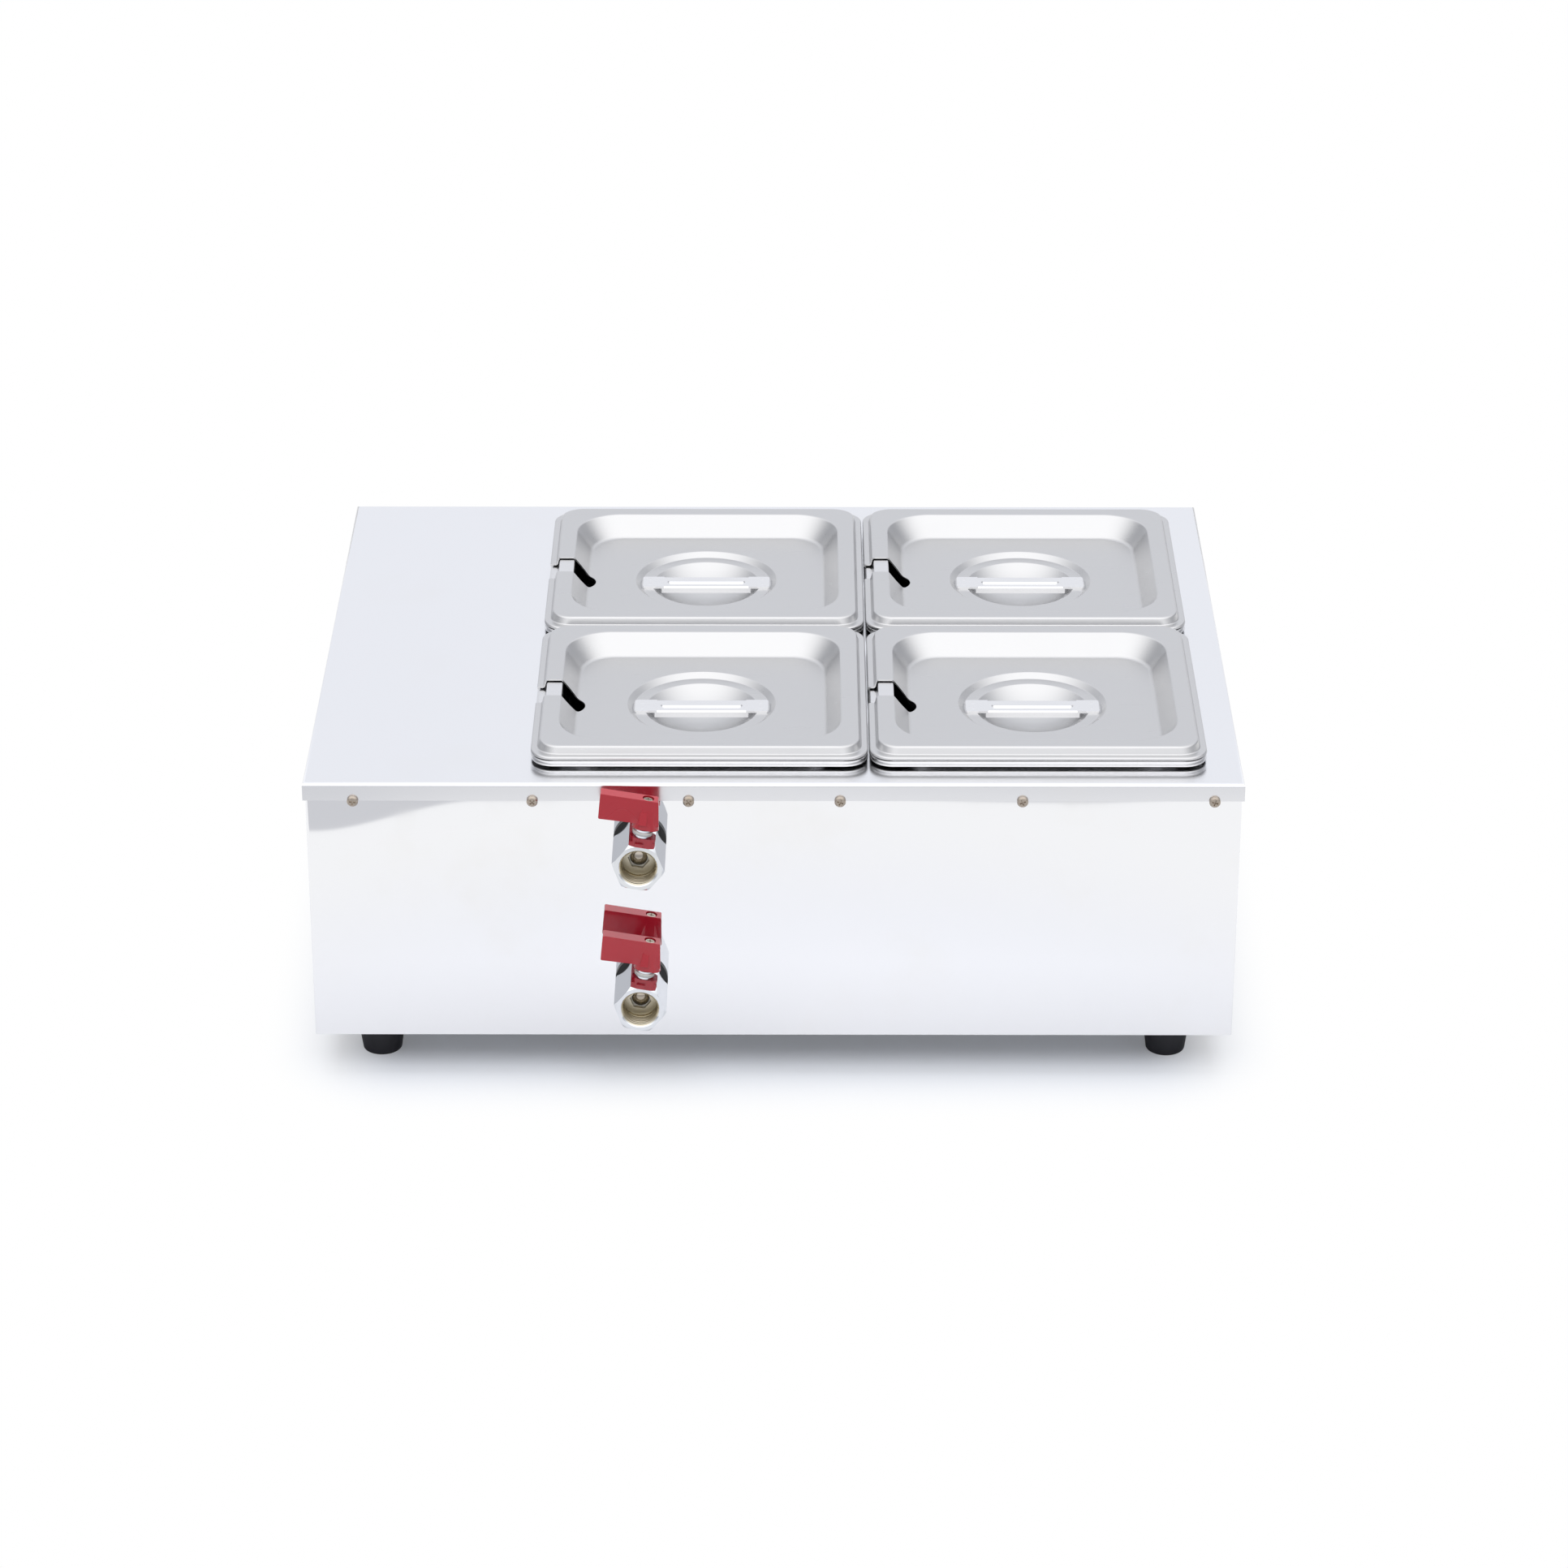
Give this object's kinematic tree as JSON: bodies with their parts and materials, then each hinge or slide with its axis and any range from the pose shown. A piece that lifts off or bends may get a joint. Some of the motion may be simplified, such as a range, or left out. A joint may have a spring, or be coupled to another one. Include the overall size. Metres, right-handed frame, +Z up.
{
  "type": "chocolate melter",
  "caption": "Counter-top bain-marie melter: mirror steel box with lidded dipping pans in a deck, ball valves with red wing handles on the long front, and tapered feet.",
  "frame": {"origin": "on the table, under the middle of the whole appliance", "axes": "+X to the right and +Y away as seen from the long side with the valves, +Z up"},
  "size_m": [0.488, 0.4186, 0.1846],
  "materials": {
    "polished_steel": "mirror polished stainless sheet",
    "satin_steel": "satin stainless pressing",
    "strap_steel": "bright stainless strip",
    "pan_steel": "satin stainless pressing",
    "tank_steel": "mill finish stainless with weld tint",
    "zinc_sheet": "zinc coated sheet",
    "bright_screws": "bright plated screw",
    "black_rubber": "matt moulded rubber",
    "washer_rubber": "smooth sealing rubber",
    "plated_brass": "nickel plated brass forging",
    "bare_brass": "turned brass",
    "chromed_ball": "chromed ball",
    "valve_stem": "turned brass stem",
    "seat_white": "white sealing plastic",
    "handle_red": "glossy moulded handle",
    "heater_sheath": "matt heater sheath",
    "thermostat_case": "moulded phenolic",
    "copper_bulb": "copper bulb and capillary",
    "spindle_steel": "turned steel",
    "knob_black": "moulded knob with a white pointer line",
    "dial_silver": "printed aluminium dial",
    "lamp_black": "black bezel",
    "lens_amber": "amber lens",
    "lens_green": "green lens",
    "switch_black": "black nylon",
    "rocker_red": "red rocker",
    "block_white": "glazed ceramic"
  },
  "bodies": {
    "housing": {"base_screws": "bright_screws", "body_shell": "polished_steel", "bottom_plate": "zinc_sheet", "bulb_gland": "bare_brass", "cover_screws": "bright_screws", "dial_plate": "dial_silver", "feet": "black_rubber", "foot_bolts": "bright_screws", "foot_nuts": "bright_screws", "heat_shield": "zinc_sheet", "heater_gaskets": "washer_rubber", "heater_nuts": "bare_brass", "heater_saddles": "tank_steel", "heater_tube": "heater_sheath", "heating_lens": "lens_amber", "inlet_pins": "bare_brass", "inlet_screws": "bright_screws", "lamp_bodies": "lamp_black", "lower_valve_body": "plated_brass", "lower_valve_retainer": "bare_brass", "lower_valve_seals": "seat_white", "lower_valve_washer": "washer_rubber", "mains_inlet": "switch_black", "overheat_cutout": "thermostat_case", "power_lens": "lens_green", "switch_frame": "switch_black", "tank_sockets": "tank_steel", "terminal_block": "block_white", "thermostat_body": "thermostat_case", "thermostat_bulb": "copper_bulb", "top_cover": "polished_steel", "upper_valve_body": "plated_brass", "upper_valve_retainer": "bare_brass", "upper_valve_seals": "seat_white", "upper_valve_washer": "washer_rubber", "water_tank": "tank_steel"},
    "upper_handle": {"upper_valve_handle": "handle_red", "upper_valve_stem": "valve_stem", "upper_valve_ball": "chromed_ball", "upper_handle_screw": "bright_screws"},
    "lower_handle": {"lower_valve_handle": "handle_red", "lower_valve_stem": "valve_stem", "lower_valve_ball": "chromed_ball", "lower_handle_screw": "bright_screws"},
    "knob": {"thermostat_knob": "knob_black", "thermostat_spindle": "spindle_steel"},
    "rocker": {"switch_rocker": "rocker_red"},
    "pan_front_left": {"pan_front_left": "pan_steel"},
    "lid_front_left": {"lid_front_left": "satin_steel", "strap_front_left": "strap_steel"},
    "pan_front_right": {"pan_front_right": "pan_steel"},
    "lid_front_right": {"lid_front_right": "satin_steel", "strap_front_right": "strap_steel"},
    "pan_rear_left": {"pan_rear_left": "pan_steel"},
    "lid_rear_left": {"lid_rear_left": "satin_steel", "strap_rear_left": "strap_steel"},
    "pan_rear_right": {"pan_rear_right": "pan_steel"},
    "lid_rear_right": {"lid_rear_right": "satin_steel", "strap_rear_right": "strap_steel"}
  },
  "joints": [
    {"name": "upper_valve_turn", "type": "hinge", "parent": "housing", "child": "upper_handle", "pos_m": [-0.0695, -0.18935, 0.1412], "axis": [0.1668, 0, 0.986], "range_deg": [0, 90]},
    {"name": "lower_valve_turn", "type": "hinge", "parent": "housing", "child": "lower_handle", "pos_m": [-0.0695, -0.18935, 0.0587], "axis": [0.1668, 0, 0.986], "range_deg": [0, 90]},
    {"name": "thermostat_turn", "type": "hinge", "parent": "housing", "child": "knob", "pos_m": [-0.1978, 0.19085, 0.072], "axis": [0, -1, 0], "range_deg": [0, 270]},
    {"name": "switch_rock", "type": "hinge", "parent": "housing", "child": "rocker", "pos_m": [-0.1978, 0.18685, 0.137], "axis": [-1, 0, 0], "range_deg": [0, 18]},
    {"name": "pan_front_left_lift", "type": "slide", "parent": "housing", "child": "pan_front_left", "axis": [0, 0, 1], "range_m": [0, 0.13]},
    {"name": "pan_front_right_lift", "type": "slide", "parent": "housing", "child": "pan_front_right", "axis": [0, 0, 1], "range_m": [0, 0.13]},
    {"name": "pan_rear_left_lift", "type": "slide", "parent": "housing", "child": "pan_rear_left", "axis": [0, 0, 1], "range_m": [0, 0.13]},
    {"name": "pan_rear_right_lift", "type": "slide", "parent": "housing", "child": "pan_rear_right", "axis": [0, 0, 1], "range_m": [0, 0.13]},
    {"name": "lid_front_left_lift", "type": "slide", "parent": "pan_front_left", "child": "lid_front_left", "axis": [0, 0, 1], "range_m": [0, 0.06]},
    {"name": "lid_front_right_lift", "type": "slide", "parent": "pan_front_right", "child": "lid_front_right", "axis": [0, 0, 1], "range_m": [0, 0.06]},
    {"name": "lid_rear_left_lift", "type": "slide", "parent": "pan_rear_left", "child": "lid_rear_left", "axis": [0, 0, 1], "range_m": [0, 0.06]},
    {"name": "lid_rear_right_lift", "type": "slide", "parent": "pan_rear_right", "child": "lid_rear_right", "axis": [0, 0, 1], "range_m": [0, 0.06]}
  ]
}
